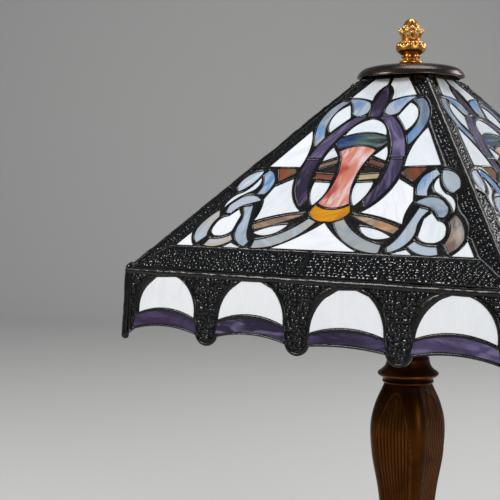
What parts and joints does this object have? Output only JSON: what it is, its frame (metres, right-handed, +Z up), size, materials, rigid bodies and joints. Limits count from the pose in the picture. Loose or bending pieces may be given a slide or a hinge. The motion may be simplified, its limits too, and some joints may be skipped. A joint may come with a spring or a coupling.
{
  "type": "stained glass table lamp",
  "caption": "Table lamp with a square leaded-glass pyramid shade, scalloped skirt, domed cap, gilt finial and a square reeded column on a stepped foot.",
  "frame": {"origin": "centre of the foot's underside, on the surface that the lamp stands on", "axes": "+Z up along the rod; the shade's front side faces -Y and its sides are square to X and Y"},
  "size_m": [0.4094, 0.4094, 0.5978],
  "materials": {
    "patina_solder": "black patina over solder, satin",
    "white_opal_glass": "opalescent white, glossy",
    "blue_streaky_glass": "sky blue and grey streaks, glossy",
    "purple_streaky_glass": "violet streaks, glossy",
    "accent_glass": "amber, red, teal and brown streaky pieces, glossy",
    "black_textured_glass": "black, heavily rippled",
    "dark_bronze_cap": "dark bronze, satin",
    "gilt_finial": "bright gilt",
    "brass_hardware": "satin brass",
    "steel_rod": "plain",
    "bulb_base_metal": "plain",
    "frosted_bulb_glass": "frosted",
    "antique_gold_cast": "antique gold over brown, satin",
    "felt": "felt",
    "grommet_plastic": "matte"
  },
  "bodies": {
    "stand": {"foot": "antique_gold_cast", "felt_pad": "felt", "base_nut": "steel_rod", "cord_grommet": "grommet_plastic", "column": "antique_gold_cast", "collar": "antique_gold_cast", "centre_rod": "steel_rod", "seat_washer": "brass_hardware", "seat_nut": "brass_hardware", "cluster_body": "brass_hardware", "left_socket": "brass_hardware", "right_socket": "brass_hardware"},
    "shade": {"front_solder_net": "patina_solder", "front_skirt_solder_net": "patina_solder", "front_white_glass": "white_opal_glass", "front_blue_glass": "blue_streaky_glass", "front_purple_glass": "purple_streaky_glass", "front_accent_glass": "accent_glass", "front_black_glass": "black_textured_glass", "front_skirt_white_glass": "white_opal_glass", "front_skirt_purple_glass": "purple_streaky_glass", "right_solder_net": "patina_solder", "right_skirt_solder_net": "patina_solder", "right_white_glass": "white_opal_glass", "right_blue_glass": "blue_streaky_glass", "right_purple_glass": "purple_streaky_glass", "right_accent_glass": "accent_glass", "right_black_glass": "black_textured_glass", "right_skirt_white_glass": "white_opal_glass", "right_skirt_purple_glass": "purple_streaky_glass", "back_solder_net": "patina_solder", "back_skirt_solder_net": "patina_solder", "back_white_glass": "white_opal_glass", "back_blue_glass": "blue_streaky_glass", "back_purple_glass": "purple_streaky_glass", "back_accent_glass": "accent_glass", "back_black_glass": "black_textured_glass", "back_skirt_white_glass": "white_opal_glass", "back_skirt_purple_glass": "purple_streaky_glass", "left_solder_net": "patina_solder", "left_skirt_solder_net": "patina_solder", "left_white_glass": "white_opal_glass", "left_blue_glass": "blue_streaky_glass", "left_purple_glass": "purple_streaky_glass", "left_accent_glass": "accent_glass", "left_black_glass": "black_textured_glass", "left_skirt_white_glass": "white_opal_glass", "left_skirt_purple_glass": "purple_streaky_glass", "corner_solder": "patina_solder", "vase_cap": "dark_bronze_cap", "top_ring": "brass_hardware"},
    "finial_body": {"finial": "gilt_finial"},
    "left_bulb": {"left_bulb_base": "bulb_base_metal", "left_bulb_glass": "frosted_bulb_glass"},
    "right_bulb": {"right_bulb_base": "bulb_base_metal", "right_bulb_glass": "frosted_bulb_glass"},
    "left_chain": {"left_pull_chain": "brass_hardware"},
    "right_chain": {"right_pull_chain": "brass_hardware"}
  },
  "joints": [
    {"name": "shade_turn", "type": "hinge", "parent": "stand", "child": "shade", "pos_m": [0, 0, 0.5], "axis": [0, 0, 1], "continuous": true},
    {"name": "finial_turn", "type": "hinge", "parent": "stand", "child": "finial_body", "pos_m": [0, 0, 0.56], "axis": [0, 0, 1], "continuous": true},
    {"name": "left_bulb_turn", "type": "hinge", "parent": "stand", "child": "left_bulb", "pos_m": [-0.043, 0, 0.38], "axis": [0, 0, 1], "continuous": true},
    {"name": "right_bulb_turn", "type": "hinge", "parent": "stand", "child": "right_bulb", "pos_m": [0.043, 0, 0.38], "axis": [0, 0, 1], "continuous": true},
    {"name": "left_chain_pull", "type": "slide", "parent": "stand", "child": "left_chain", "axis": [0, 0, -1], "range_m": [0, 0.01], "stiffness_N_per_m": 200, "springref_m": -0.003},
    {"name": "right_chain_pull", "type": "slide", "parent": "stand", "child": "right_chain", "axis": [0, 0, -1], "range_m": [0, 0.01], "stiffness_N_per_m": 200, "springref_m": -0.003}
  ]
}
